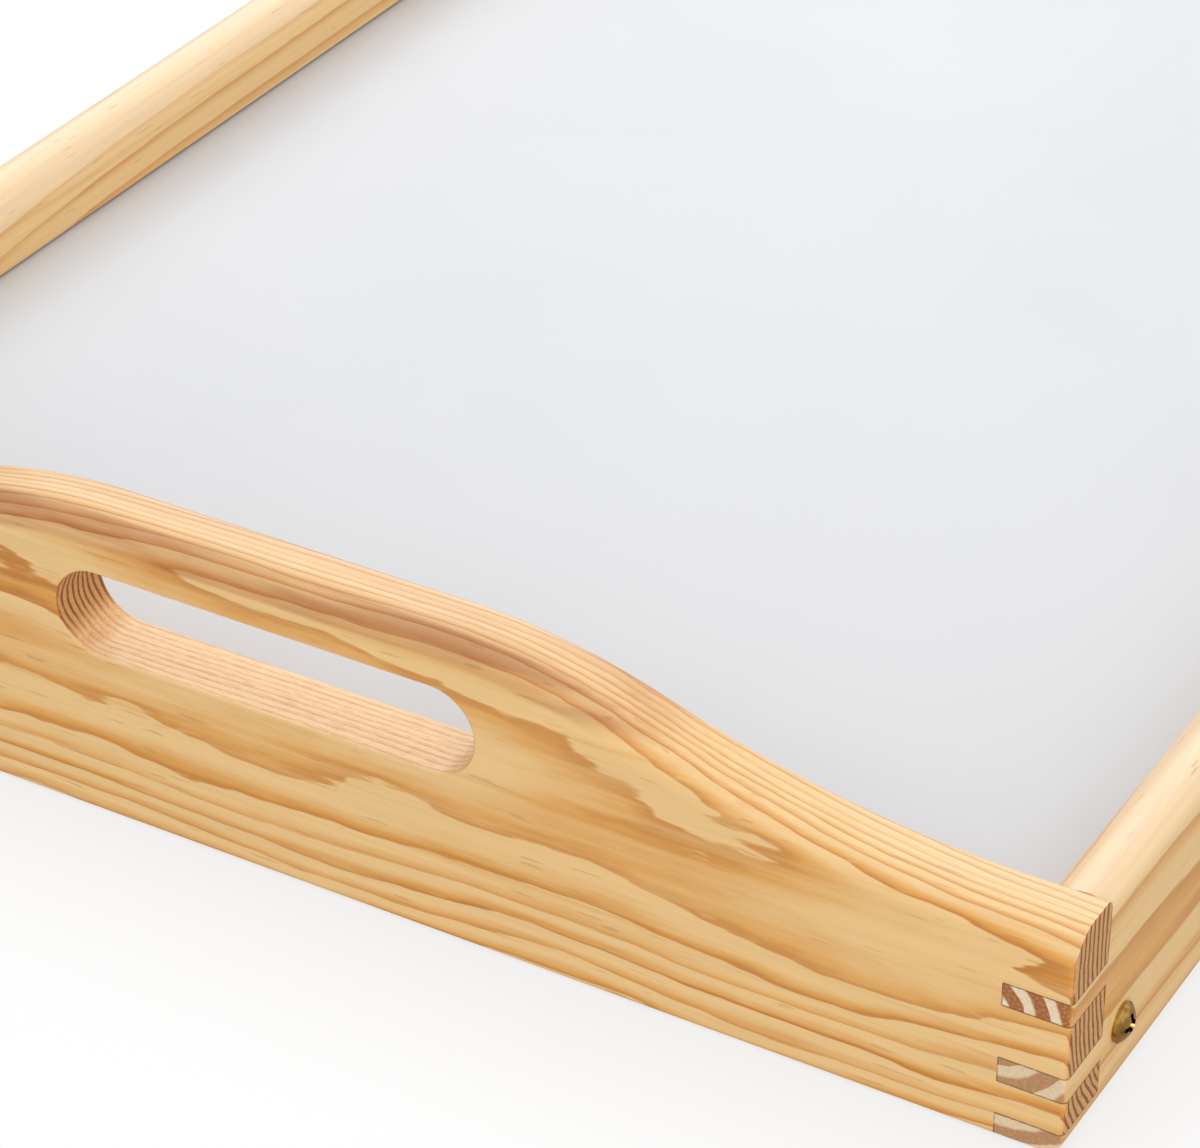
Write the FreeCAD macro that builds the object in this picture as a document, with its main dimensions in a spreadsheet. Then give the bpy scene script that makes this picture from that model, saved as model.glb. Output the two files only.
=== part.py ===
import FreeCAD, Part
import math
import os
import re
import Sketcher

# A bed tray: a box-jointed pine frame with a white laminated panel and two fold-out leg frames.
# Millimetres. X runs along the rails, Y along the end boards, Z up, with Z = 0 at the frame's foot.

os.makedirs("parts", exist_ok=True)
doc = FreeCAD.newDocument("BedTray")
vector = FreeCAD.Vector

# ---------------------------------------------------------------- driving sizes
sizes = {
    "tray_length": 500,       # outside of one end board to outside of the other
    "tray_width": 300,        # outside of one rail to outside of the other
    "end_thick": 13,          # thickness of the end boards
    "rail_thick": 12,         # thickness of the rails
    "corner_height": 43.3,    # height of the end boards at their corners
    "rail_height": 42.5,
    "hump_rise": 17.3,        # how far the end board's wave rises above its corners
    "hump_flat": 68,          # level stretch on top of the wave
    "shoulder_flat": 14,      # level stretch from the corner to the wave
    "wave_radius": 195,       # hollow arc at the foot of the wave
    "board_outer_round": 6,   # rounding of the end boards' upper edges
    "board_inner_round": 2,
    "rail_outer_round": 4,    # rounding of the rails' upper edges
    "rail_inner_round": 7.5,
    "rail_foot_round": 4,     # rounding of the rails' outer lower edge
    "outer_round": 1,         # broken edge round the foot and down the four corners
    "slot_length": 84,        # finger slot, end to end
    "slot_height": 17,
    "slot_level": 41.8,       # height of the slot's middle
    "slot_round": 0.4,        # broken edge of the slot
    "tab_low": 4.6,           # rail tabs of the box joint and the board tabs between, from the foot up
    "space_low": 6.5,
    "tab_middle": 4.8,
    "space_high": 10.4,
    "tab_high": 4.4,
    "panel_top": 26,          # level that things stand on
    "panel_thick": 3,
    "groove_depth": 4,        # how deep the panel's groove goes into each board
    "groove_gap": 0.7,        # open line above the panel
    "panel_play": 0.4,        # room between the panel's edge and the groove's floor
    "pivot_inset": 20.5,        # leg pivot from the outside of the end board
    "pivot_level": 13.6,      # leg pivot above the foot
    "screw_radius": 2,
    "bore_play": 0.05,        # running clearance round the screw
    "head_radius": 3.6,
    "head_height": 2.2,
    "head_dome": 1.6,         # how much of the head's height is its dome
    "recess_span": 4.2,       # cross recess, tip to tip
    "recess_width": 0.9,
    "recess_depth": 1.3,
    "recess_radius": 1.2,     # cone in the middle of the recess
    "screw_tip": 1.5,         # screw that shows past the nut
    "tip_bevel": 0.5,
    "washer_radius": 5,
    "washer_thick": 1,
    "leg_gap": 0.3,           # side play of the leg between its washers
    "leg_thick": 12,
    "leg_width": 14,
    "foot_gap": 28,           # middle of a folded leg's rounded foot to the middle of the tray
    "leg_round": 1.5,
    "bar_inset": 32,          # cross bar from the middle of the rounded foot
    "bar_radius": 6,
    "tenon_radius": 4,
    "nut_flats": 7,           # across the flats
    "nut_height": 3.4,
    "collar_radius": 3.1,
    "collar_height": 1.6,
}

sheet = doc.addObject("Spreadsheet::Sheet", "Sizes")
for row, (name, number) in enumerate(sizes.items(), start=1):
    sheet.set("A%d" % row, name)
    sheet.set("B%d" % row, str(number))
    sheet.setAlias("B%d" % row, name)
doc.recompute()


def read(name):
    return float(sheet.get(name))


def formula(text):
    """The same words with each size's name pointing at its cell."""
    return re.sub(r"[a-z_]+", lambda word: "Sizes." + word[0] if word[0] in sizes else word[0], text)


def bind(item, **properties):
    for name, text in properties.items():
        item.setExpression(name, formula(text))


def place(item, x="0", y="0", z="0", axis=vector(0, 0, 1), angle=0):
    item.Placement = FreeCAD.Placement(vector(), FreeCAD.Rotation(axis, angle))
    for name, text in (("x", x), ("y", y), ("z", z)):
        item.setExpression("Placement.Base." + name, formula(text))


# ---------------------------------------------------------------- shared builders
def box(name, length, width, height, x, y, z):
    item = doc.addObject("Part::Box", name)
    bind(item, Length=length, Width=width, Height=height)
    place(item, x, y, z)
    return item


def rod(name, radius, length, x, y, z):
    """A cylinder whose axis runs along +Y from the given point."""
    item = doc.addObject("Part::Cylinder", name)
    bind(item, Radius=radius, Height=length)
    place(item, x, y, z, vector(1, 0, 0), -90)
    return item


def taper(name, start_radius, end_radius, length, x, y, z):
    """A cone whose axis runs along +Y from the given point."""
    item = doc.addObject("Part::Cone", name)
    bind(item, Radius1=start_radius, Radius2=end_radius, Height=length)
    place(item, x, y, z, vector(1, 0, 0), -90)
    return item


def joined(name, items):
    item = doc.addObject("Part::MultiFuse", name)
    item.Shapes = items
    return item


def boolean(kind, name, base, tool):
    item = doc.addObject("Part::" + kind, name)
    item.Base = base
    item.Tool = tool
    return item


pieces = []


def keep(item, label, turned=False, x="0", y="0", z="0"):
    """Give a finished piece its name and its place; turned means half a turn about Z."""
    item.Label = label
    place(item, x, y, z, angle=180 if turned else 0)
    pieces.append(item)
    return item


def newBody(name):
    return doc.addObject("PartDesign::Body", name)


def newSketch(body, name, plane):
    sketch = body.newObject("Sketcher::SketchObject", name)
    origin = [item for item in body.Origin.OriginFeatures if item.Role == plane]
    sketch.AttachmentSupport = [(origin[0], "")]
    sketch.MapMode = "FlatFace"
    return sketch


def dimension(sketch, text, kind, *where):
    index = sketch.addConstraint(Sketcher.Constraint(kind, *where))
    sketch.setExpression("Constraints[%d]" % index, formula(text))


def arc(sketch, centre, radius, start, end):
    circle = Part.Circle(vector(*centre, 0), vector(0, 0, 1), radius)
    return sketch.addGeometry(Part.ArcOfCircle(circle, start, end))


def line(sketch, start, end):
    return sketch.addGeometry(Part.LineSegment(vector(*start, 0), vector(*end, 0)))


# Ends and centre of a sketched line or arc, and the sketch's own origin
first, last, middle = range(1, 4)
origin_point = (-1, 1)


def stadium(sketch, x, y, reach, radius, numbers):
    """A slot outline along X. The first centre is at x, y and the other is reach further on."""
    start_x, start_y, span, size = numbers
    top = line(sketch, (start_x + span, start_y + size), (start_x, start_y + size))
    near = arc(sketch, (start_x, start_y), size, math.pi / 2, 3 * math.pi / 2)
    bottom = line(sketch, (start_x, start_y - size), (start_x + span, start_y - size))
    far = arc(sketch, (start_x + span, start_y), size, -math.pi / 2, math.pi / 2)
    for one, one_end, other, other_end in ((top, last, near, first), (near, last, bottom, first),
                                           (bottom, last, far, first), (far, last, top, first)):
        sketch.addConstraint(Sketcher.Constraint("Tangent", one, one_end, other, other_end))
    sketch.addConstraint(Sketcher.Constraint("Equal", near, far))
    sketch.addConstraint(Sketcher.Constraint("Horizontal", bottom))
    dimension(sketch, reach, "DistanceX", near, middle, far, middle, span)
    dimension(sketch, radius, "Radius", near, size)
    dimension(sketch, x, "DistanceX", *origin_point, near, middle, start_x)
    if y == "0":
        sketch.addConstraint(Sketcher.Constraint("PointOnObject", near, middle, -1))
    else:
        dimension(sketch, y, "DistanceY", *origin_point, near, middle, start_y)


def pad(body, name, sketch, length, sides="One side"):
    item = body.newObject("PartDesign::Pad", name)
    item.Profile = sketch
    item.SideType = sides
    bind(item, Length=length)
    doc.recompute()
    return item


def rounded(body, name, base, radius, chosen):
    """Round the edges of base that chosen accepts."""
    item = body.newObject("PartDesign::Fillet", name)
    edges = ["Edge%d" % number for number, edge in enumerate(base.Shape.Edges, start=1) if chosen(edge)]
    item.Base = (base, edges)
    bind(item, Radius=radius)
    doc.recompute()
    return item


def flatAlong(edge, axis, level):
    """Whether the whole edge lies at one level of the given axis."""
    room = edge.BoundBox
    low, high = {"X": (room.XMin, room.XMax), "Y": (room.YMin, room.YMax), "Z": (room.ZMin, room.ZMax)}[axis]
    return abs(low - level) < nearly and abs(high - level) < nearly


nearly = 0.001

# ---------------------------------------------------------------- joint levels, tools shared by the boards
tab_levels = [
    ("0", "tab_low"),
    ("tab_low + space_low", "tab_middle"),
    ("tab_low + space_low + tab_middle + space_high", "tab_high"),
]
space_levels = [
    ("tab_low", "space_low"),
    ("tab_low + space_low + tab_middle", "space_high"),
    ("tab_low + space_low + tab_middle + space_high + tab_high", "corner_height + hump_rise"),
]


def jointTool(name, levels, length, width, corners):
    """Blocks at the given levels, one row at each of the two ends."""
    blocks = []
    for end, (x, y) in enumerate(corners):
        for number, (level, height) in enumerate(levels):
            blocks.append(box("%s_%d_%d" % (name, end, number), length, width, height, x, y, level))
    return joined(name, blocks)


# Where the rails' tabs pass through the end boards, and the other way round
tab_tool = jointTool("rail_tabs", tab_levels, "tray_length", "rail_thick",
                     [("-tray_length/2", "-tray_width/2"), ("-tray_length/2", "tray_width/2 - rail_thick")])
space_tool = jointTool("board_tabs", space_levels, "end_thick", "tray_width",
                       [("-tray_length/2", "-tray_width/2"), ("tray_length/2 - end_thick", "-tray_width/2")])

groove_tool = box("groove", "tray_length - 2*end_thick + 2*groove_depth",
                  "tray_width - 2*rail_thick + 2*groove_depth", "panel_thick + groove_gap",
                  "-tray_length/2 + end_thick - groove_depth", "-tray_width/2 + rail_thick - groove_depth",
                  "panel_top - panel_thick")


def roundedFrame():
    """The glued frame's outside, sanded round at the foot and at the four corners."""
    body = newBody("frame_outside")
    sketch = newSketch(body, "frame_outline", "XY_Plane")
    half_x, half_y = read("tray_length") / 2, read("tray_width") / 2
    corners = [(-half_x, -half_y), (half_x, -half_y), (half_x, half_y), (-half_x, half_y)]
    sides = [line(sketch, corners[n], corners[(n + 1) % 4]) for n in range(4)]
    for n in range(4):
        sketch.addConstraint(Sketcher.Constraint("Coincident", sides[n], last, sides[(n + 1) % 4], first))
        sketch.addConstraint(Sketcher.Constraint("Horizontal" if n % 2 == 0 else "Vertical", sides[n]))
    dimension(sketch, "tray_length", "DistanceX", sides[0], first, sides[0], last, 2 * half_x)
    dimension(sketch, "tray_width", "DistanceY", sides[1], first, sides[1], last, 2 * half_y)
    dimension(sketch, "tray_length/2", "DistanceX", *origin_point, sides[1], first, half_x)
    dimension(sketch, "tray_width/2", "DistanceY", *origin_point, sides[1], last, half_y)
    block = pad(body, "frame_block", sketch, "2*corner_height + 2*hump_rise")
    rounded(body, "frame_rounding", block, "outer_round",
            lambda edge: flatAlong(edge, "Z", 0) or edge.BoundBox.ZLength > read("corner_height"))
    return body


frame_tool = roundedFrame()


def shapedBoard(name, blank, joint_tool):
    """Joint and groove cut into a blank, then the outside rounded with the rest of the frame."""
    jointed = boolean("Cut", name + "_jointed", blank, joint_tool)
    grooved = boolean("Cut", name + "_grooved", jointed, groove_tool)
    return boolean("Common", name + "_shaped", grooved, frame_tool)


# ---------------------------------------------------------------- end boards
def endBoardBlank(name):
    """Board with its raised wave, rounded upper edges and finger slot, standing on its own YZ plane."""
    width, height, rise = read("tray_width"), read("corner_height"), read("hump_rise")
    flat, shoulder, hollow = read("hump_flat"), read("shoulder_flat"), read("wave_radius")
    run = (width - flat) / 2 - shoulder
    slope = 2 * math.atan(rise / run)
    crown = run / math.sin(slope) - hollow
    up, down = math.pi / 2, -math.pi / 2

    body = newBody(name)
    sketch = newSketch(body, name + "_outline", "YZ_Plane")
    foot = line(sketch, (-width / 2, 0), (width / 2, 0))
    end_right = line(sketch, (width / 2, 0), (width / 2, height))
    shoulder_right = line(sketch, (width / 2, height), (width / 2 - shoulder, height))
    hollow_right = arc(sketch, (width / 2 - shoulder, height + hollow), hollow, down - slope, down)
    crown_right = arc(sketch, (flat / 2, height + rise - crown), crown, up - slope, up)
    top = line(sketch, (flat / 2, height + rise), (-flat / 2, height + rise))
    crown_left = arc(sketch, (-flat / 2, height + rise - crown), crown, up, up + slope)
    hollow_left = arc(sketch, (-width / 2 + shoulder, height + hollow), hollow, down, down + slope)
    shoulder_left = line(sketch, (-width / 2 + shoulder, height), (-width / 2, height))
    end_left = line(sketch, (-width / 2, height), (-width / 2, 0))
    for one, other in ((foot, end_right), (end_right, shoulder_right), (shoulder_left, end_left), (end_left, foot)):
        sketch.addConstraint(Sketcher.Constraint("Coincident", one, last, other, first))
    for one, one_end, other, other_end in (
            (shoulder_right, last, hollow_right, last), (hollow_right, first, crown_right, first),
            (crown_right, last, top, first), (top, last, crown_left, first),
            (crown_left, last, hollow_left, last), (hollow_left, first, shoulder_left, first)):
        sketch.addConstraint(Sketcher.Constraint("Tangent", one, one_end, other, other_end))
    for level in (foot, shoulder_right, shoulder_left, top):
        sketch.addConstraint(Sketcher.Constraint("Horizontal", level))
    for upright in (end_right, end_left):
        sketch.addConstraint(Sketcher.Constraint("Vertical", upright))
    sketch.addConstraint(Sketcher.Constraint("PointOnObject", foot, first, -1))
    dimension(sketch, "tray_width", "DistanceX", foot, first, foot, last, width)
    dimension(sketch, "tray_width/2", "DistanceX", *origin_point, foot, last, width / 2)
    dimension(sketch, "corner_height", "DistanceY", end_right, first, end_right, last, height)
    dimension(sketch, "corner_height", "DistanceY", end_left, last, end_left, first, height)
    dimension(sketch, "shoulder_flat", "DistanceX", shoulder_right, last, shoulder_right, first, shoulder)
    dimension(sketch, "shoulder_flat", "DistanceX", shoulder_left, last, shoulder_left, first, shoulder)
    dimension(sketch, "hump_flat", "DistanceX", top, last, top, first, flat)
    dimension(sketch, "hump_flat/2", "DistanceX", *origin_point, top, first, flat / 2)
    dimension(sketch, "corner_height + hump_rise", "DistanceY", *origin_point, top, first, height + rise)
    dimension(sketch, "wave_radius", "Radius", hollow_right, hollow)
    dimension(sketch, "wave_radius", "Radius", hollow_left, hollow)
    board = pad(body, name + "_board", sketch, "end_thick")

    thick = read("end_thick")
    for face, face_x, rounding in (("outer", 0, "board_outer_round"), ("inner", thick, "board_inner_round")):
        board = rounded(body, "%s_%s_rounding" % (name, face), board, rounding,
                        lambda edge: edge.BoundBox.ZMin > height - nearly and flatAlong(edge, "X", face_x))

    radius, level, span = read("slot_height") / 2, read("slot_level"), read("slot_length")
    slot = newSketch(body, name + "_slot", "YZ_Plane")
    stadium(slot, "-(slot_length - slot_height)/2", "slot_level", "slot_length - slot_height", "slot_height/2",
            (radius - span / 2, level, span - 2 * radius, radius))
    opening = body.newObject("PartDesign::Pocket", name + "_finger_slot")
    opening.Profile = slot
    opening.Type = "ThroughAll"
    opening.Reversed = True
    doc.recompute()
    rounded(body, name + "_slot_rounding", opening, "slot_round",
            lambda edge: (flatAlong(edge, "X", 0) or flatAlong(edge, "X", thick))
            and edge.BoundBox.ZMin > level - radius - nearly and edge.BoundBox.ZMax < level + radius + nearly
            and edge.BoundBox.YMax < span / 2 + nearly and edge.BoundBox.YMin > -span / 2 - nearly)
    return body


def endBoard(side, turned):
    blank = endBoardBlank("end_board_blank_" + side)
    place(blank, x="tray_length/2" if turned else "-tray_length/2", angle=180 if turned else 0)
    keep(shapedBoard("end_board_" + side, blank, tab_tool), "end_board_" + side)


endBoard("left", False)
endBoard("right", True)


# ---------------------------------------------------------------- rails
def railBlank(name):
    """Plain rail with rounded edges; its outer face is on its own XZ plane."""
    body = newBody(name)
    sketch = newSketch(body, name + "_section", "YZ_Plane")
    thick, height = read("rail_thick"), read("rail_height")
    corners = [(0, 0), (thick, 0), (thick, height), (0, height)]
    sides = [line(sketch, corners[n], corners[(n + 1) % 4]) for n in range(4)]
    for n in range(4):
        sketch.addConstraint(Sketcher.Constraint("Coincident", sides[n], last, sides[(n + 1) % 4], first))
        sketch.addConstraint(Sketcher.Constraint("Horizontal" if n % 2 == 0 else "Vertical", sides[n]))
    sketch.addConstraint(Sketcher.Constraint("Coincident", sides[0], first, *origin_point))
    dimension(sketch, "rail_thick", "DistanceX", sides[0], first, sides[0], last, thick)
    dimension(sketch, "rail_height", "DistanceY", sides[1], first, sides[1], last, height)
    rail = pad(body, name + "_rail", sketch, "tray_length")
    for corner, y, z, rounding in (("outer", 0, height, "rail_outer_round"),
                                   ("inner", thick, height, "rail_inner_round"),
                                   ("foot", 0, 0, "rail_foot_round")):
        rail = rounded(body, "%s_%s_rounding" % (name, corner), rail, rounding,
                       lambda edge: flatAlong(edge, "Y", y) and flatAlong(edge, "Z", z))
    return body


def rail(side, turned):
    blank = railBlank("rail_blank_" + side)
    place(blank, x="tray_length/2" if turned else "-tray_length/2",
          y="tray_width/2" if turned else "-tray_width/2", angle=180 if turned else 0)
    shaped = shapedBoard("rail_" + side, blank, space_tool)
    bores = joined("rail_bores_" + side, [
        rod("rail_bore_%s_%s" % (side, end), "screw_radius + bore_play", "rail_thick", x,
            "tray_width/2 - rail_thick" if turned else "-tray_width/2", "pivot_level")
        for end, x in (("left", "pivot_inset - tray_length/2"), ("right", "tray_length/2 - pivot_inset"))])
    keep(boolean("Cut", "rail_%s_bored" % side, shaped, bores), "rail_" + side)


rail("front", False)
rail("back", True)

# ---------------------------------------------------------------- panel
keep(box("panel", "tray_length - 2*end_thick + 2*groove_depth - 2*panel_play",
         "tray_width - 2*rail_thick + 2*groove_depth - 2*panel_play", "panel_thick", "0", "0", "0"),
     "tray_panel", x="-tray_length/2 + end_thick - groove_depth + panel_play",
     y="-tray_width/2 + rail_thick - groove_depth + panel_play", z="panel_top - panel_thick")


# ---------------------------------------------------------------- leg frames
# Distances inwards from a rail's outer face, along the pivot screw
washer_start = "rail_thick"
leg_start = "rail_thick + washer_thick + leg_gap"
nut_washer_start = leg_start + " + leg_thick + leg_gap"
nut_start = nut_washer_start + " + washer_thick"
screw_length = nut_start + " + nut_height + collar_height + screw_tip"
leg_reach = "tray_length/2 - pivot_inset - foot_gap"
bar_reach = leg_reach + " - bar_inset"


def leg(name):
    """Round-ended strip whose pivot is at the origin and whose foot lies along +X."""
    body = newBody(name)
    sketch = newSketch(body, name + "_outline", "XZ_Plane")
    reach = read("tray_length") / 2 - read("pivot_inset") - read("foot_gap")
    stadium(sketch, "0", "0", leg_reach, "leg_width/2", (0, 0, reach, read("leg_width") / 2))
    strip = pad(body, name + "_strip", sketch, "leg_thick", "Symmetric")
    rounded(body, name + "_rounding", strip, "leg_round", lambda edge: edge.BoundBox.YLength < nearly)
    return body


def legFrame(side, turned):
    pivot_x = "tray_length/2 - pivot_inset" if turned else "pivot_inset - tray_length/2"
    toward = "-" if turned else "+"
    bar_x = "%s %s (%s)" % (pivot_x, toward, bar_reach)
    for end, outward in (("front", "-"), ("back", "")):
        name = "leg_%s_%s" % (side, end)
        strip = leg(name + "_strip")
        middle_y = "%s(tray_width/2 - (%s) - leg_thick/2)" % (outward, leg_start)
        place(strip, x=pivot_x, y=middle_y, z="pivot_level", angle=180 if turned else 0)
        low = "-tray_width/2 + %s" % leg_start if end == "front" else "tray_width/2 - (%s) - leg_thick" % leg_start
        bores = joined(name + "_bores", [
            rod(name + "_pivot_bore", "screw_radius + bore_play", "leg_thick", pivot_x, low, "pivot_level"),
            rod(name + "_tenon_bore", "tenon_radius", "leg_thick", bar_x, low, "pivot_level")])
        keep(boolean("Cut", name, strip, bores), name)
    inner = "tray_width/2 - (%s) - leg_thick" % leg_start
    bar = rod("bar_middle_" + side, "bar_radius", "2*(%s)" % inner, bar_x, "-(%s)" % inner, "pivot_level")
    tenon = rod("bar_tenon_" + side, "tenon_radius", "2*(%s) + 2*leg_thick" % inner, bar_x,
                "-(%s) - leg_thick" % inner, "pivot_level")
    keep(joined("crossbar_" + side, [bar, tenon]), "crossbar_" + side)


legFrame("left", False)
legFrame("right", True)


# ---------------------------------------------------------------- pivot hardware
def screw(name):
    """Cross-recessed round-head screw; its seat is at the origin and its shank runs along +Y."""
    head, shank, top = read("head_radius"), read("screw_radius"), read("head_height")
    dome, bevel = read("head_dome"), read("tip_bevel")
    end = sum(read(word) for word in re.findall(r"[a-z_]+", screw_length))
    dome_radius = (head * head + dome * dome) / (2 * dome)
    lean = math.asin(head / dome_radius)
    body = newBody(name + "_turned")
    sketch = newSketch(body, name + "_profile", "XY_Plane")
    crown = arc(sketch, (0, dome_radius - top), dome_radius, -math.pi / 2, lean - math.pi / 2)
    corners = [(head, dome - top), (head, 0), (shank, 0), (shank, end - bevel), (shank - bevel, end), (0, end),
               (0, -top)]
    sides = [line(sketch, start, stop) for start, stop in zip(corners, corners[1:])]
    rim, seat, barrel, tip, tip_face, core = sides
    for one, other in zip([crown] + sides, sides + [crown]):
        sketch.addConstraint(Sketcher.Constraint("Coincident", one, last, other, first))
    for side, kind in ((rim, "Vertical"), (seat, "Horizontal"), (barrel, "Vertical"), (tip_face, "Horizontal")):
        sketch.addConstraint(Sketcher.Constraint(kind, side))
    sketch.addConstraint(Sketcher.Constraint("PointOnObject", seat, first, -1))
    for side, point in ((crown, middle), (core, first), (core, last)):
        sketch.addConstraint(Sketcher.Constraint("PointOnObject", side, point, -2))
    dimension(sketch, "head_radius", "DistanceX", *origin_point, seat, first, head)
    dimension(sketch, "screw_radius", "DistanceX", *origin_point, seat, last, shank)
    dimension(sketch, "head_height", "DistanceY", core, last, *origin_point, top)
    dimension(sketch, "head_height - head_dome", "DistanceY", rim, first, rim, last, top - dome)
    dimension(sketch, "%s - tip_bevel" % screw_length, "DistanceY", *origin_point, barrel, last, end - bevel)
    dimension(sketch, "screw_radius - tip_bevel", "DistanceX", *origin_point, tip, last, shank - bevel)
    dimension(sketch, screw_length, "DistanceY", *origin_point, tip, last, end)
    turning = body.newObject("PartDesign::Revolution", name + "_turning")
    turning.Profile = sketch
    turning.ReferenceAxis = (sketch, ["V_Axis"])
    turning.Angle = 360
    recess = joined(name + "_recess", [
        box(name + "_recess_level", "recess_span", "recess_depth", "recess_width", "-recess_span/2",
            "-head_height", "-recess_width/2"),
        box(name + "_recess_upright", "recess_width", "recess_depth", "recess_span", "-recess_width/2",
            "-head_height", "-recess_span/2"),
        taper(name + "_recess_cone", "recess_radius", "recess_width/2", "recess_depth + recess_width/2", "0",
              "-head_height", "0")])
    return boolean("Cut", name, body, recess)


def washer(name):
    """Flat washer whose first face is at the origin, facing -Y."""
    disc = rod(name + "_disc", "washer_radius", "washer_thick", "0", "0", "0")
    hole = rod(name + "_hole", "screw_radius + bore_play", "washer_thick", "0", "0", "0")
    return boolean("Cut", name, disc, hole)


def lockNut(name):
    """Hexagon nut with a round locking collar; its seat is at the origin."""
    hexagon = doc.addObject("Part::Prism", name + "_hexagon")
    hexagon.Polygon = 6
    bind(hexagon, Circumradius="nut_flats/2/cos(30)", Height="nut_height")
    place(hexagon, axis=vector(1, 0, 0), angle=-90)
    collar = rod(name + "_collar", "collar_radius", "nut_height + collar_height", "0", "0", "0")
    bore = rod(name + "_bore", "screw_radius", "nut_height + collar_height", "0", "0", "0")
    return boolean("Cut", name, joined(name + "_outside", [hexagon, collar]), bore)


for side, pivot_x in (("left", "pivot_inset - tray_length/2"), ("right", "tray_length/2 - pivot_inset")):
    for end, turned in (("front", False), ("back", True)):
        corner = "%s_%s" % (side, end)
        for part_name, maker, start in (("pivot_screw", screw, "0"), ("rail_washer", washer, washer_start),
                                        ("nut_washer", washer, nut_washer_start), ("lock_nut", lockNut, nut_start)):
            label = "%s_%s" % (part_name, corner)
            y = "tray_width/2 - (%s)" % start if turned else "-tray_width/2 + %s" % start
            keep(maker(label + "_piece"), label, turned, x=pivot_x, y=y, z="pivot_level")

# ---------------------------------------------------------------- check and write
doc.recompute()
for item in doc.Objects:
    if "Invalid" in item.State or "Error" in item.State:
        raise RuntimeError("%s did not build: %s" % (item.Name, item.State))
for item in pieces:
    shape = item.Shape
    if shape.isNull() or not shape.isValid() or len(shape.Solids) != 1:
        raise RuntimeError("%s is not one sound solid" % item.Label)
for item in pieces:
    item.Shape.exportStep("parts/%s.step" % item.Label)
    room = item.Shape.BoundBox
    print("%-26s x %8.2f %8.2f  y %8.2f %8.2f  z %7.2f %7.2f  volume %9.0f" % (
        item.Label, room.XMin, room.XMax, room.YMin, room.YMax, room.ZMin, room.ZMax, item.Shape.Volume))
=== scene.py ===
import math

import bpy
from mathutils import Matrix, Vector

# bed tray: pine frame, white panel, brass leg screws, all on a plain white floor

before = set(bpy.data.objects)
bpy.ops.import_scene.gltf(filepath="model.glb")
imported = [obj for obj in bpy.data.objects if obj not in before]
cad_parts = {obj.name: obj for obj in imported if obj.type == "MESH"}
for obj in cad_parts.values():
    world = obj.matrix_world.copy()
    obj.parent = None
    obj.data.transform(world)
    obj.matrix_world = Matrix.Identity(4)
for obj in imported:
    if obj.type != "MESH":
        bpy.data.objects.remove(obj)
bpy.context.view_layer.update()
print("frame loaded", len(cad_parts), "nodes")


# short ways to make a material and its nodes; a value that is a socket is linked, any other is set on the socket

def newMaterial(name, showIn):
    material = bpy.data.materials.new(name)
    material.use_nodes = True
    material.diffuse_color = (*showIn, 1)
    material.node_tree.nodes.clear()
    return material


def addNode(tree, kind, inputs=None, **settings):
    node = tree.nodes.new(kind)
    for name, value in settings.items():
        setattr(node, name, value)
    for name, value in (inputs or {}).items():
        socket = node.inputs[name]
        if isinstance(value, bpy.types.NodeSocket):
            tree.links.new(value, socket)
        else:
            socket.default_value = value
    return node


def maths(tree, operation, first, second=0.0, third=0.0):
    return addNode(tree, "ShaderNodeMath", {0: first, 1: second, 2: third}, operation=operation).outputs[0]


def spread(tree, value, low, high, newLow=0.0, newHigh=1.0):
    # low to high becomes newLow to newHigh, with soft ends and nothing beyond them
    return addNode(tree, "ShaderNodeMapRange", {
        "Value": value, "From Min": low, "From Max": high, "To Min": newLow, "To Max": newHigh},
        interpolation_type="SMOOTHSTEP").outputs["Result"]


def blendColours(tree, amount, first, second, mode="MIX"):
    # the mix node has a set of sockets for each data type: 6 and 7 are its colours, 2 is the colour that comes out
    node = addNode(tree, "ShaderNodeMix", data_type="RGBA", blend_type=mode)
    for index, value in ((0, amount), (6, first), (7, second)):
        if isinstance(value, bpy.types.NodeSocket):
            tree.links.new(value, node.inputs[index])
        elif index:
            node.inputs[index].default_value = (*value, 1)
        else:
            node.inputs[index].default_value = value
    return node.outputs[2]


def noise(tree, vector, scale, detail=3.0, roughness=0.5):
    return addNode(tree, "ShaderNodeTexNoise", {
        "Vector": vector, "Scale": scale, "Detail": detail, "Roughness": roughness}).outputs["Fac"]


def bumpFrom(tree, height, strength, depth):
    return addNode(tree, "ShaderNodeBump", {
        "Height": height, "Strength": strength, "Distance": depth}).outputs[0]


def finishMaterial(tree, shader):
    output = addNode(tree, "ShaderNodeOutputMaterial")
    tree.links.new(shader, output.inputs["Surface"])


def dress(node, material):
    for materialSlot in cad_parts[node].material_slots:
        materialSlot.material = material


# The wood is solid: growth rings are cylinders round a heart that lies beside each board, so faces, rounded
# edges, slot walls and end grain are all cut from the same rings. Lengths are in metres.

pine = {
    "pale": (0.85, 0.56, 0.245),      # early wood
    "honey": (0.735, 0.33, 0.055),    # late wood
    "line": (0.48, 0.17, 0.03),       # the last of it, before the next spring
    # sapwood also gives the colour of the painted sheen on faces that turn upwards
    "sapwood": (0.86, 0.66, 0.425),
    "runOut": (0.92, 0.70, 0.55),     # tint where a surface crosses the grain
    "blush": (0.62, 0.46, 0.41),      # tint of the rounding over the handle
    "duct": (0.42, 0.20, 0.07),
    "joint": (0.16, 0.065, 0.025),    # glue lines
    "showIn": (0.8, 0.6, 0.36),
}
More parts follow.
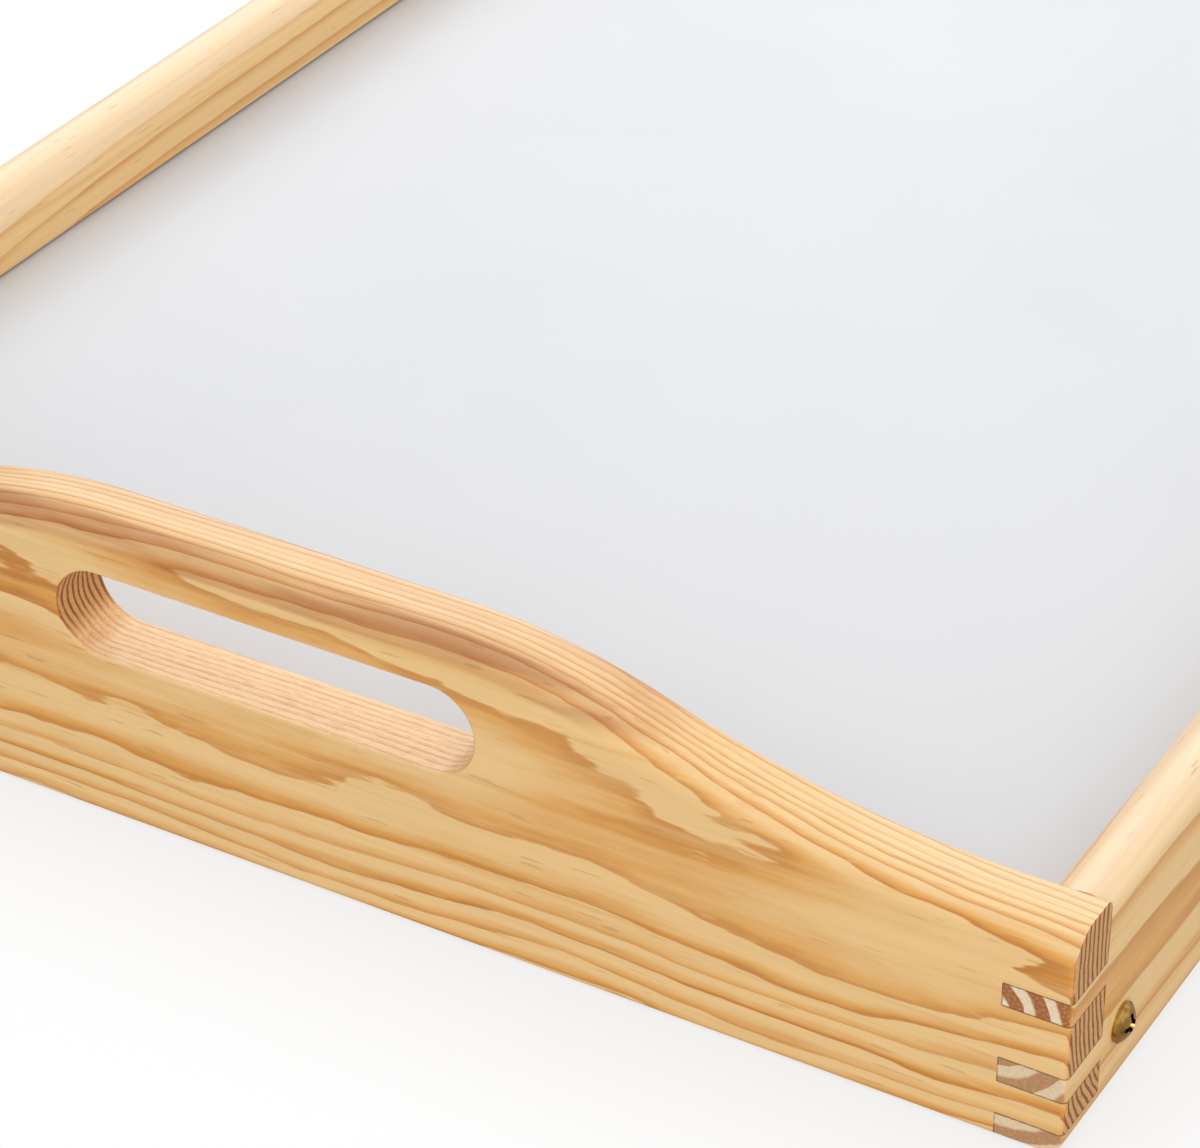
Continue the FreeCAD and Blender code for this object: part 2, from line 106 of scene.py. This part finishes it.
# noise drawn out along the grain: repeats per metre lengthwise and across, shift, detail, roughness
grain = {
    "slow": (5.5, 11.0, 0.0, 1.0, 0.5),
    "middling": (14.0, 60.0, 3.7, 1.5, 0.5),
    "ripple": (70.0, 420.0, 9.1, 2.0, 0.5),
    "streaks": (6.0, 430.0, 14.0, 3.0, 0.62),
    "fibres": (20.0, 950.0, 0.0, 2.0, 0.6),
    "ducts": (120.0, 1500.0, 5.0, 0.0, 0.5),
    "patches": (18.0, 260.0, 2.2, 3.0, 0.5),
    "flecks": (380.0, 2300.0, 6.0, 2.0, 0.65),
}


def boardPlace(tree, board):
    # a point's place along the board, across it and up, and how far its surface faces each way
    coordinates = addNode(tree, "ShaderNodeTexCoord").outputs
    place = addNode(tree, "ShaderNodeSeparateXYZ", {"Vector": coordinates["Object"]}).outputs
    normal = addNode(tree, "ShaderNodeSeparateXYZ", {"Vector": coordinates["Normal"]}).outputs
    along, across = ("X", "Y") if board["along"] == "X" else ("Y", "X")
    return {"object": coordinates["Object"], "run": place[along], "side": place[across], "up": place["Z"],
            "fromMiddle": maths(tree, "ABSOLUTE", place[along]),
            "facesEnd": maths(tree, "ABSOLUTE", normal[along]),
            "facesSide": maths(tree, "ABSOLUTE", normal[across]), "facesUp": normal["Z"]}


def grainNoise(tree, at, board, kind):
    lengthwise, across, shift, detail, roughness = grain[kind]
    shift += board["seed"]
    vector = addNode(tree, "ShaderNodeCombineXYZ", {
        "X": maths(tree, "MULTIPLY_ADD", at["run"], lengthwise, shift),
        "Y": maths(tree, "MULTIPLY_ADD", at["side"], across, shift * 0.7),
        "Z": maths(tree, "MULTIPLY", at["up"], across)}).outputs[0]
    return noise(tree, vector, 1.0, detail, roughness)


# how far the rings stray from plain cylinders, and what a year's ring looks like as it runs from 0 to 1: late is
# its darker wood, line the last of that, and luck what a year may add to the depth of either
ringShape = {"heartSway": 0.05, "slowDrift": 0.012, "middlingDrift": 0.0042, "ripple": 0.0007,
             "spring": (0.95, 1.0), "lateFull": 0.86, "lateDepth": 0.62, "line": (0.74, 0.93), "lineDepth": 0.25,
             "luck": 0.5}


def ringBand(tree, rings, low, high, depth, luck):
    shown = maths(tree, "MULTIPLY", spread(tree, rings["within"], low, high), rings["beforeSpring"])
    return maths(tree, "MULTIPLY", shown, maths(tree, "MULTIPLY_ADD", rings["year"], luck, depth))


def growthRings(tree, at, board):
    # the trunk isn't straight: its rings drift along the board and ripple on the way
    slow, middling, ripple = [maths(tree, "SUBTRACT", grainNoise(tree, at, board, kind), 0.5)
                              for kind in ("slow", "middling", "ripple")]
    drift = board["drift"]
    fromSide = maths(tree, "SUBTRACT", at["side"], board["heart"][0])
    fromUp = maths(tree, "SUBTRACT", at["up"], board["heart"][1])
    fromUp = maths(tree, "MULTIPLY_ADD", slow, ringShape["heartSway"] * drift, fromUp)
    distance = maths(tree, "SQRT", maths(tree, "ADD", maths(tree, "MULTIPLY", fromSide, fromSide),
                                         maths(tree, "MULTIPLY", fromUp, fromUp)))
    distance = maths(tree, "MULTIPLY_ADD", slow, ringShape["slowDrift"] * drift, distance)
    distance = maths(tree, "MULTIPLY_ADD", middling, ringShape["middlingDrift"] * drift, distance)
    distance = maths(tree, "MULTIPLY_ADD", ripple, ringShape["ripple"], distance)
    ring = maths(tree, "DIVIDE", distance, board["spacing"])
    within = maths(tree, "FRACT", ring)
    yearNumber = maths(tree, "ADD", maths(tree, "FLOOR", ring), board["seed"])
    year = addNode(tree, "ShaderNodeTexWhiteNoise", {"W": yearNumber}, noise_dimensions="1D").outputs["Value"]
    rings = {"slow": slow, "within": within, "year": year,
             "beforeSpring": spread(tree, within, *ringShape["spring"], 1.0, 0.0)}

    # early wood is pale; late wood deepens slowly and ends sharply at the next spring
    lateStart, depth = board["bands"]
    luck = ringShape["luck"] * depth
    rings["late"] = ringBand(tree, rings, lateStart, ringShape["lateFull"], ringShape["lateDepth"] * depth, luck)
    rings["line"] = ringBand(tree, rings, *ringShape["line"], ringShape["lineDepth"] * depth, luck)
    return rings


# streaks, ducts, glints and flecks: between which values of the grain's noise, how strong, which of pine's colours;
# a surface is tinted redder, or on top is painted paler as a painted sheen in the sapwood colour, from and to how far
# it faces that way
faceLook = {
    "darkStreaks": (0.53, 0.68, 0.34, "honey"), "lightStreaks": (0.47, 0.36, 0.28, "pale"),
    "ducts": (0.75, 0.82, 0.35, "duct"), "glints": (0.25, 0.18, 0.30, "pale"),
    "redderFacing": (0.08, 0.55), "redder": 0.55, "topFacing": (0.3, 0.95),
    "sapwoodSway": 0.012, "sapwoodWidth": 0.005, "sapwoodStrength": 0.8,
}


def marked(tree, colour, source, mark, where=None):
    low, high, strength, markColour = mark
    shown = spread(tree, source, low, high, 0.0, strength)
    if where is not None:
        shown = maths(tree, "MULTIPLY", where, shown)
    return blendColours(tree, shown, colour, pine[markColour])


def faceColour(tree, at, board, rings, ductNoise):
    colour = blendColours(tree, rings["late"], pine["pale"], pine["honey"])
    colour = blendColours(tree, rings["line"], colour, pine["line"])
    streaks = grainNoise(tree, at, board, "streaks")
    colour = marked(tree, colour, streaks, faceLook["darkStreaks"])
    colour = marked(tree, colour, streaks, faceLook["lightStreaks"])
    if board["sapwood"]:
        level = maths(tree, "MULTIPLY_ADD", rings["slow"], faceLook["sapwoodSway"], at["up"])
        paler = spread(tree, level, board["sapwood"], board["sapwood"] + faceLook["sapwoodWidth"],
                       0.0, faceLook["sapwoodStrength"])
        colour = blendColours(tree, paler, colour, pine["sapwood"])
    colour = marked(tree, colour, ductNoise, faceLook["ducts"])
    colour = marked(tree, colour, ductNoise, faceLook["glints"])
    # where the surface crosses the grain it takes more lacquer and turns redder
    redder = spread(tree, at["facesEnd"], *faceLook["redderFacing"], 0.0, faceLook["redder"])
    colour = blendColours(tree, redder, colour, pine["runOut"], "MULTIPLY")
    # painted sheen: the more a face turns upwards, the paler it is painted, towards the sapwood colour, standing in
    # for light from above
    if board["paintedTopSheen"]:
        paler = spread(tree, at["facesUp"], *faceLook["topFacing"], 0.0, board["paintedTopSheen"])
        colour = blendColours(tree, paler, colour, pine["sapwood"])
    return colour


handleLook = {"width": 0.005, "roundingFacing": (0.08, 0.3), "topFacing": (0.9, 0.97), "onTop": 0.35,
              "patches": (0.38, 0.62), "leastPatch": 0.45}


def blushOverHandle(tree, at, board, colour):
    # the rounding over the handle is sanded into late wood, which takes up more lacquer
    above = spread(tree, at["up"], board["humpFrom"], board["humpFrom"] + handleLook["width"])
    rounding = maths(tree, "MULTIPLY", above, spread(tree, at["facesUp"], *handleLook["roundingFacing"]))
    onTop = spread(tree, at["facesUp"], *handleLook["topFacing"], 1.0, handleLook["onTop"])
    rounding = maths(tree, "MULTIPLY", rounding, onTop)
    patches = grainNoise(tree, at, board, "patches")
    patches = spread(tree, patches, *handleLook["patches"], handleLook["leastPatch"], 1.0)
    return blendColours(tree, maths(tree, "MULTIPLY", rounding, patches), colour, pine["blush"], "MULTIPLY")


slotLook = {"wallFacing": (0.3, 0.1), "paleFlecks": (0.54, 0.40, 0.36, "sapwood"),
            "darkFlecks": (0.52, 0.70, 0.26, "duct")}


def tornSlot(tree, at, board, colour):
    # the slot is milled and left rough: short torn fibres on its walls, none on the board's own faces
    torn = maths(tree, "MULTIPLY", maths(tree, "LESS_THAN", at["fromMiddle"], board["slotHalf"]),
                 maths(tree, "LESS_THAN", at["up"], board["slotTop"]))
    torn = maths(tree, "MULTIPLY", torn, spread(tree, at["facesSide"], *slotLook["wallFacing"]))
    flecks = grainNoise(tree, at, board, "flecks")
    colour = marked(tree, colour, flecks, slotLook["paleFlecks"], torn)
    return marked(tree, colour, flecks, slotLook["darkFlecks"], torn)


endLook = {"facing": (0.55, 0.95), "lateWidth": 0.14, "fadeLevels": (0.019, 0.023), "fade": 0.36,
           "poreScale": 1900.0, "pores": (0.45, 0.75), "poreStrength": 0.45}


def endGrainColour(tree, at, board, rings):
    pale, late, lateStart = board["endPale"], board["endLate"], board["endFrom"]
    colour = blendColours(tree, spread(tree, rings["within"], lateStart, lateStart + endLook["lateWidth"]), pale, late)
    colour = blendColours(tree, maths(tree, "SUBTRACT", 1.0, rings["beforeSpring"]), colour, pale)
    if board["endFaded"]:
        # the lower tabs are paler than the top one
        faded = spread(tree, at["up"], *endLook["fadeLevels"], endLook["fade"], 0.0)
        colour = blendColours(tree, faded, colour, board["endFaded"])
    pores = noise(tree, at["object"], endLook["poreScale"], 1.0)
    pores = spread(tree, pores, *endLook["pores"], 0.0, endLook["poreStrength"])
    halfway = tuple((one + other) / 2 for one, other in zip(pale, late))
    return blendColours(tree, pores, colour, halfway)


glueLook = {"sideWidth": 0.00028, "levelWidth": 0.00022, "core": 0.4, "fibres": (0.3, 0.6), "strength": (0.25, 0.8)}
tabLevels = (0.0046, 0.0111, 0.0159, 0.0263, 0.0307)


def closeTo(tree, value, level, width):
    gap = maths(tree, "ABSOLUTE", maths(tree, "SUBTRACT", value, level))
    return spread(tree, gap, width * glueLook["core"], width, 1.0, 0.0)


def glueLines(tree, at, board, fibres):
    # thin dark lines round the tabs, broken up by the fibres
    lines = closeTo(tree, maths(tree, "ABSOLUTE", at["side"]), board["tabsReach"], glueLook["sideWidth"])
    for level in tabLevels:
        lines = maths(tree, "MAXIMUM", lines, closeTo(tree, at["up"], level, glueLook["levelWidth"]))
    lines = maths(tree, "MULTIPLY", lines, maths(tree, "GREATER_THAN", at["fromMiddle"], board["tabsFrom"]))
    return maths(tree, "MULTIPLY", lines, spread(tree, fibres, *glueLook["fibres"], *glueLook["strength"]))


# roughness is the smoothest there is; fibres and end grain add to it
lacquer = {"light": 0.90, "fibreLight": 0.2, "fibreHeight": 0.6, "ringHeight": 0.4, "ductDepth": 0.6,
           "bump": 0.2, "bumpDepth": 0.0002, "roughness": 0.36, "fibreRoughness": 0.10, "endRoughness": 0.14,
           "specular": 0.35, "endSpecular": 0.1, "coat": 0.25, "coatRoughness": 0.3}


def pineMaterial(name, board):
    material = newMaterial(name, pine["showIn"])
    tree = material.node_tree
    at = boardPlace(tree, board)
    rings = growthRings(tree, at, board)
    fibres = grainNoise(tree, at, board, "fibres")
    ductNoise = grainNoise(tree, at, board, "ducts")
    colour = faceColour(tree, at, board, rings, ductNoise)
    if board["humpFrom"]:
        colour = blushOverHandle(tree, at, board, colour)
        colour = tornSlot(tree, at, board, colour)
    endGrain = spread(tree, at["facesEnd"], *endLook["facing"])
    if board["tabsFrom"]:
        beyond = maths(tree, "GREATER_THAN", at["fromMiddle"], board["endAfter"])
        endGrain = maths(tree, "MULTIPLY", endGrain, beyond)
    colour = blendColours(tree, endGrain, colour, endGrainColour(tree, at, board, rings))
    if board["tabsFrom"]:
        colour = blendColours(tree, glueLines(tree, at, board, fibres), colour, pine["joint"])
    lightness = maths(tree, "MULTIPLY_ADD", fibres, lacquer["fibreLight"], lacquer["light"])
    lightness = maths(tree, "MULTIPLY", lightness, board["tone"])
    grey = addNode(tree, "ShaderNodeCombineColor", {"Red": lightness, "Green": lightness, "Blue": lightness})
    colour = blendColours(tree, 1.0, colour, grey.outputs[0], "MULTIPLY")

    # the fibres and late wood stand up a little, and the ducts are small pits
    height = maths(tree, "MULTIPLY", rings["late"], lacquer["ringHeight"])
    height = maths(tree, "MULTIPLY_ADD", fibres, lacquer["fibreHeight"], height)
    ductLow, ductHigh = faceLook["ducts"][:2]
    pits = maths(tree, "MULTIPLY", spread(tree, ductNoise, ductLow, ductHigh), lacquer["ductDepth"])
    height = maths(tree, "SUBTRACT", height, pits)
    roughness = maths(tree, "MULTIPLY_ADD", fibres, lacquer["fibreRoughness"], lacquer["roughness"])
    roughness = maths(tree, "MULTIPLY_ADD", endGrain, lacquer["endRoughness"], roughness)
    shader = addNode(tree, "ShaderNodeBsdfPrincipled", {
        "Base Color": colour, "Roughness": roughness,
        "Normal": bumpFrom(tree, height, lacquer["bump"], lacquer["bumpDepth"]),
        "Specular IOR Level": spread(tree, endGrain, 0.0, 1.0, lacquer["specular"], lacquer["endSpecular"]),
        "Coat Weight": spread(tree, endGrain, 0.0, 1.0, lacquer["coat"], 0.0),
        "Coat Roughness": lacquer["coatRoughness"]})
    finishMaterial(tree, shader.outputs[0])
    return material


# Each board: the axis that its grain runs along, its heart (across and up), ring spacing, seed, and how strongly
# the rings drift. bands is where late wood starts in a ring, and how deep it is; endFrom is that start for end
# grain. tabsFrom and tabsReach place the glue lines, and end grain starts at endAfter on a board with tabs.

anyBoard = {"along": "X", "drift": 1.0, "tone": 1.0, "bands": (0.3, 1.0), "endPale": (0.84, 0.66, 0.44),
            "endLate": (0.39, 0.14, 0.045), "endFrom": 0.34, "endFaded": None, "endAfter": 0.0,
            "tabsFrom": None, "tabsReach": None, "sapwood": None, "paintedTopSheen": 0.0, "humpFrom": None,
            "slotHalf": None, "slotTop": None}
# end boards: their upward faces get a painted sheen, painted paler on top
endBoard = {**anyBoard, "along": "Y", "tone": 1.03, "bands": (0.32, 0.97), "endPale": (0.62, 0.35, 0.155),
            "endLate": (0.27, 0.10, 0.03), "endFrom": 0.5, "tabsFrom": 0.1381, "tabsReach": 0.237,
            "paintedTopSheen": 0.2, "humpFrom": 0.0505, "slotHalf": 0.0425, "slotTop": 0.0505}
rail = {**anyBoard, "drift": 0.4, "endPale": (0.86, 0.70, 0.49), "endFaded": (0.66, 0.45, 0.25),
        "endAfter": 0.2371, "tabsFrom": 0.2371, "tabsReach": 0.138, "sapwood": 0.0355}
crossbar = {**anyBoard, "along": "Y", "drift": 0.6, "tone": 1.03}
boards = {
    "end_board_left": {**endBoard, "heart": (-0.1577, 0.0435), "spacing": 0.00155, "seed": 1.7},
    "end_board_right": {**endBoard, "heart": (0.150, 0.014), "spacing": 0.0017, "seed": 8.3},
    "rail_front": {**rail, "heart": (-0.1365, 0.0213), "spacing": 0.0047, "seed": 4.1, "bands": (0.4, 0.72)},
    "rail_back": {**rail, "heart": (0.104, 0.004), "spacing": 0.0041, "seed": 6.6, "bands": (0.55, 0.6)},
    "leg_left_front": {**anyBoard, "heart": (-0.10, 0.02), "spacing": 0.0028, "seed": 12.4},
    "leg_left_back": {**anyBoard, "heart": (0.16, 0.03), "spacing": 0.0025, "seed": 15.2},
    "leg_right_front": {**anyBoard, "heart": (-0.17, 0.005), "spacing": 0.0027, "seed": 18.9},
    "leg_right_back": {**anyBoard, "heart": (0.105, 0.0), "spacing": 0.0030, "seed": 21.5},
    "crossbar_left": {**crossbar, "heart": (-0.085, 0.0), "spacing": 0.0026, "seed": 25.3},
    "crossbar_right": {**crossbar, "heart": (0.09, 0.03), "spacing": 0.0026, "seed": 28.8},
}
for node, board in boards.items():
    dress(node, pineMaterial("pine_" + node, board))
print("pine done:", len(boards), "boards")


laminate = {
    "white": (0.622, 0.632, 0.655), "cool": (0.602, 0.614, 0.644),
    "cloudScale": 9.0, "clouds": (0.35, 0.7),
    "speck": (0.30, 0.28, 0.25), "speckScale": 13.0, "speckSize": 0.0085, "speckStrength": 0.45,
    "skinScale": 1400.0, "bump": 0.05, "bumpDepth": 0.00005,
    "roughness": 0.28, "roughnessScale": 30.0, "roughnessSwing": 0.08, "specular": 0.25,
}


def laminateMaterial():
    material = newMaterial("whiteLaminate", laminate["white"])
    tree = material.node_tree
    place = addNode(tree, "ShaderNodeTexCoord").outputs["Object"]
    cloud = spread(tree, noise(tree, place, laminate["cloudScale"]), *laminate["clouds"])
    colour = blendColours(tree, cloud, laminate["white"], laminate["cool"])
    fromSpeck = addNode(tree, "ShaderNodeTexVoronoi", {
        "Vector": place, "Scale": laminate["speckScale"]}).outputs["Distance"]
    speck = maths(tree, "LESS_THAN", fromSpeck, laminate["speckSize"])
    speck = maths(tree, "MULTIPLY", speck, laminate["speckStrength"])
    colour = blendColours(tree, speck, colour, laminate["speck"])
    skin = noise(tree, place, laminate["skinScale"], 1.0)
    roughness = maths(tree, "MULTIPLY_ADD", noise(tree, place, laminate["roughnessScale"]),
                      laminate["roughnessSwing"], laminate["roughness"])
    shader = addNode(tree, "ShaderNodeBsdfPrincipled", {
        "Base Color": colour, "Roughness": roughness,
        "Normal": bumpFrom(tree, skin, laminate["bump"], laminate["bumpDepth"]),
        "Specular IOR Level": laminate["specular"]})
    finishMaterial(tree, shader.outputs[0])
    return material


dress("tray_panel", laminateMaterial())
print("laminate done")


brassPlate = {"colour": (0.50, 0.30, 0.075), "tarnish": (0.20, 0.11, 0.03), "roughness": 0.05, "grainScale": 2500.0}
zincPlate = {"colour": (0.66, 0.67, 0.69), "tarnish": (0.50, 0.50, 0.50), "roughness": 0.26, "grainScale": 1800.0}
metalWear = {"scale": 700.0, "detail": 4.0, "roughness": 0.6, "between": (0.35, 0.75),
             "bump": 0.12, "bumpDepth": 0.00004, "roughnessSwing": 0.16}


def metalMaterial(name, plate):
    material = newMaterial(name, plate["colour"])
    tree = material.node_tree
    place = addNode(tree, "ShaderNodeTexCoord").outputs["Object"]
    wear = noise(tree, place, metalWear["scale"], metalWear["detail"], metalWear["roughness"])
    wear = spread(tree, wear, *metalWear["between"])
    fine = noise(tree, place, plate["grainScale"], 2.0)
    shader = addNode(tree, "ShaderNodeBsdfPrincipled", {
        "Base Color": blendColours(tree, wear, plate["colour"], plate["tarnish"]), "Metallic": 1.0,
        "Roughness": maths(tree, "MULTIPLY_ADD", fine, metalWear["roughnessSwing"], plate["roughness"]),
        "Normal": bumpFrom(tree, fine, metalWear["bump"], metalWear["bumpDepth"])})
    finishMaterial(tree, shader.outputs[0])
    return material


brass = metalMaterial("brassPlate", brassPlate)
zinc = metalMaterial("zincPlate", zincPlate)
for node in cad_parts:
    if node.startswith("pivot_screw"):
        dress(node, brass)
    elif "washer" in node or "nut" in node:
        dress(node, zinc)
print("metals done")


# The camera sees thin white paper with the tray's shadow on it, and through it the legs once they swing down.
# Light passes it, so the underside and the legs aren't left in the dark.

paperFloor = {"size": 8.0, "level": -0.0002, "clearness": 0.9, "paper": (0.99, 0.99, 0.99),
              "bounce": (0.52, 0.51, 0.50), "shadow": (0.80, 0.785, 0.77), "shadowReach": 0.05, "shadowSamples": 12}
white = (1, 1, 1)


def whiteFloor():
    bpy.ops.object.select_all(action="DESELECT")
    bpy.ops.mesh.primitive_plane_add(size=paperFloor["size"], location=(0, 0, paperFloor["level"]))
    floor = bpy.context.object
    floor.name = "floor"
    bpy.ops.object.transform_apply(location=True, rotation=True, scale=True)
    material = newMaterial("whiteFloor", white)
    tree = material.node_tree
    paper = addNode(tree, "ShaderNodeBsdfDiffuse", {"Color": (*paperFloor["paper"], 1)})
    bounce = addNode(tree, "ShaderNodeBsdfDiffuse", {"Color": (*paperFloor["bounce"], 1)})
    nearby = addNode(tree, "ShaderNodeAmbientOcclusion", {"Distance": paperFloor["shadowReach"]},
                     samples=paperFloor["shadowSamples"])
    shade = blendColours(tree, nearby.outputs["AO"], paperFloor["shadow"], white)
    clear = addNode(tree, "ShaderNodeBsdfTransparent", {"Color": shade})
    air = addNode(tree, "ShaderNodeBsdfTransparent", {"Color": (*white, 1)})
    path = addNode(tree, "ShaderNodeLightPath").outputs
    passes = maths(tree, "MAXIMUM", path["Is Shadow Ray"], path["Is Diffuse Ray"])

    def either(amount, first, second):
        return addNode(tree, "ShaderNodeMixShader", {0: amount, 1: first.outputs[0], 2: second.outputs[0]})

    toCamera = either(paperFloor["clearness"], paper, clear)
    shown = either(path["Is Camera Ray"], bounce, toCamera)
    finishMaterial(tree, either(passes, shown, air).outputs[0])
    floor.data.materials.append(material)


# soft light from above and behind, in a room that is white to the camera and in reflections
roomLight = 0.66
lamps = {
    "topLamp": {"place": (0.25, 0.25, 1.7), "aim": (0, 0, 0), "size": 1.9, "energy": 7.1,
                "colour": (1, 0.995, 0.985)},
    "backLamp": {"place": (1.25, 0.74, 0.95), "aim": (0, 0, 0), "size": 1.3, "energy": 10, "colour": white},
    "frontLamp": {"place": (-1.5, -1.3, 0.9), "aim": (-0.1, -0.05, 0.02), "size": 1.2, "energy": 15.5,
                  "colour": (1, 0.985, 0.96)},
}


def studioRoom():
    world = bpy.data.worlds.new("studio")
    bpy.context.scene.world = world
    world.use_nodes = True
    tree = world.node_tree
    tree.nodes.clear()
    path = addNode(tree, "ShaderNodeLightPath").outputs
    shownWhite = maths(tree, "MAXIMUM", path["Is Camera Ray"], path["Is Glossy Ray"])
    shownWhite = maths(tree, "MAXIMUM", shownWhite, path["Is Transmission Ray"])
    strength = maths(tree, "MULTIPLY_ADD", shownWhite, 1.0 - roomLight, roomLight)
    sky = addNode(tree, "ShaderNodeBackground", {"Color": (*white, 1), "Strength": strength})
    output = addNode(tree, "ShaderNodeOutputWorld")
    tree.links.new(sky.outputs[0], output.inputs["Surface"])


def studioLamp(name, look):
    bpy.ops.object.light_add(type="AREA", location=look["place"])
    lamp = bpy.context.object
    lamp.name = name
    lamp.data.shape = "DISK"
    lamp.data.size = look["size"]
    lamp.data.energy = look["energy"]
    lamp.data.color = look["colour"]
    towards = Vector(look["aim"]) - Vector(look["place"])
    lamp.rotation_euler = towards.to_track_quat("-Z", "Y").to_euler()


# the photograph is 1200 x 1148; its focal length and standpoint come from the tray's own edges
photoCamera = {"imageWidth": 1200, "focalPixels": 4225, "azimuth": -59.81, "elevation": 32.9,
               "place": (-0.7267, -0.3432, 0.4394), "sensor": 36.0, "clipStart": 0.01}


def setCamera():
    bpy.ops.object.camera_add(location=photoCamera["place"])
    camera = bpy.context.object
    camera.name = "photoCamera"
    camera.data.sensor_width = photoCamera["sensor"]
    camera.data.lens = photoCamera["focalPixels"] / photoCamera["imageWidth"] * photoCamera["sensor"]
    camera.data.clip_start = photoCamera["clipStart"]
    camera.rotation_euler = (math.radians(90 - photoCamera["elevation"]), 0, math.radians(photoCamera["azimuth"]))
    bpy.context.scene.camera = camera


whiteFloor()
studioRoom()
for name, look in lamps.items():
    studioLamp(name, look)
print("floor and light done")
setCamera()
bpy.context.scene.view_settings.view_transform = "Standard"
print("camera done")
